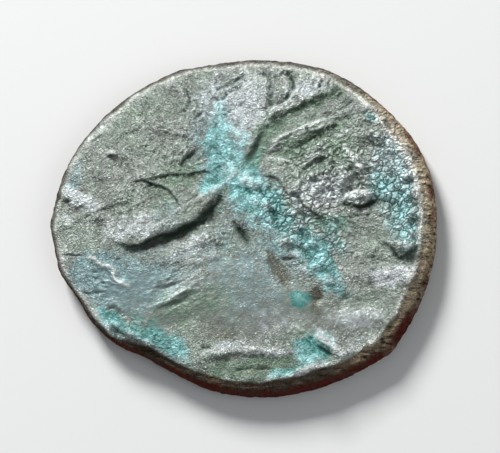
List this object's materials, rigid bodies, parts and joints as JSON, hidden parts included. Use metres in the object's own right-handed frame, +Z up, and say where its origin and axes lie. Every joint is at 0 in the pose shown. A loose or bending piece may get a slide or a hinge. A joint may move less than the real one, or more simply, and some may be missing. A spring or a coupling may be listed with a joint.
{
  "type": "roman bronze coin",
  "caption": "Worn, patinated Roman bronze coin: an irregular oval struck flan with illegible relief, green corrosion and a sloping broken edge, lying on its reverse",
  "frame": {"origin": "centre of the bounding box in plan, on the plane the coin lies on", "axes": "+X along the longest width of the flan, +Y across it, +Z up out of the obverse; the coin lies on its reverse"},
  "size_m": [0.0215, 0.0188, 0.0021],
  "materials": {
    "patinated_bronze": "old grey-green patina over bronze, satin, with pale blue-green corrosion"
  },
  "bodies": {
    "root": {"coin": "patinated_bronze"}
  },
  "joints": []
}
